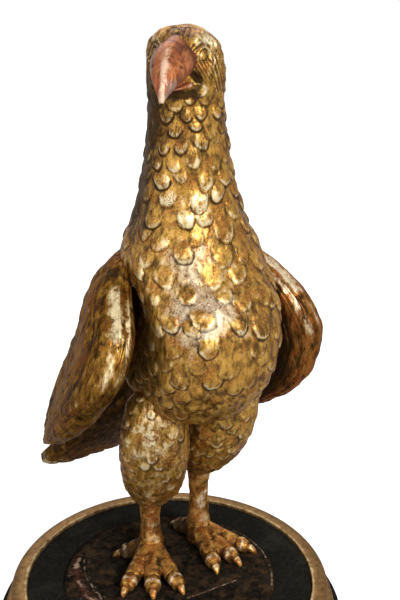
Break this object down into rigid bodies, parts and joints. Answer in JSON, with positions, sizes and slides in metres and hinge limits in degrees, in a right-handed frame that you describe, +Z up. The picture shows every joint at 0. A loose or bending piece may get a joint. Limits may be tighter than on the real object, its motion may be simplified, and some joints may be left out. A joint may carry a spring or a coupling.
{
  "type": "eagle figure",
  "caption": "Carved and gilded wooden eagle with folded wings and a turned head, standing on a round ebonised base with a gilt rim.",
  "frame": {"origin": "middle of the underside of the baize", "axes": "+Z up, -Y is where the eagle's chest faces, +X is the eagle's left"},
  "size_m": [0.3532, 0.3632, 0.629],
  "materials": {
    "gilded_wood": "worn gilding over red bole, with brown showing in the cuts",
    "red_bole": "rubbed red bole with traces of gilding",
    "ebonised_wood": "black satin, lightly dusty",
    "gilt_moulding": "worn matt gilding",
    "dark_ground": "rough black paint with red-brown showing through",
    "core_wood": "bare",
    "dowel_wood": "bare",
    "iron": "plain",
    "steel": "plain",
    "baize": "matt woven cloth"
  },
  "bodies": {
    "root": {"baize_sheet": "baize", "base_core": "core_wood", "foot_moulding": "ebonised_wood", "gilt_fillet": "gilt_moulding", "frieze_ring": "ebonised_wood", "gilt_rim": "gilt_moulding", "top_panel": "ebonised_wood", "carved_ground": "dark_ground", "ground_screws": "steel", "rim_pins": "steel", "torso": "gilded_wood", "neck": "gilded_wood", "head": "gilded_wood", "tail": "gilded_wood", "left_wing": "gilded_wood", "right_wing": "gilded_wood", "left_thigh": "gilded_wood", "right_thigh": "gilded_wood", "left_shank": "gilded_wood", "right_shank": "gilded_wood", "left_foot": "gilded_wood", "right_foot": "gilded_wood", "upper_beak": "red_bole", "lower_beak": "red_bole", "left_leg_rod": "iron", "right_leg_rod": "iron", "rod_nuts": "iron", "rod_washers": "iron", "neck_dowels": "dowel_wood", "wing_dowels": "dowel_wood", "tail_dowels": "dowel_wood", "thigh_dowels": "dowel_wood", "beak_dowels": "dowel_wood"}
  },
  "joints": []
}
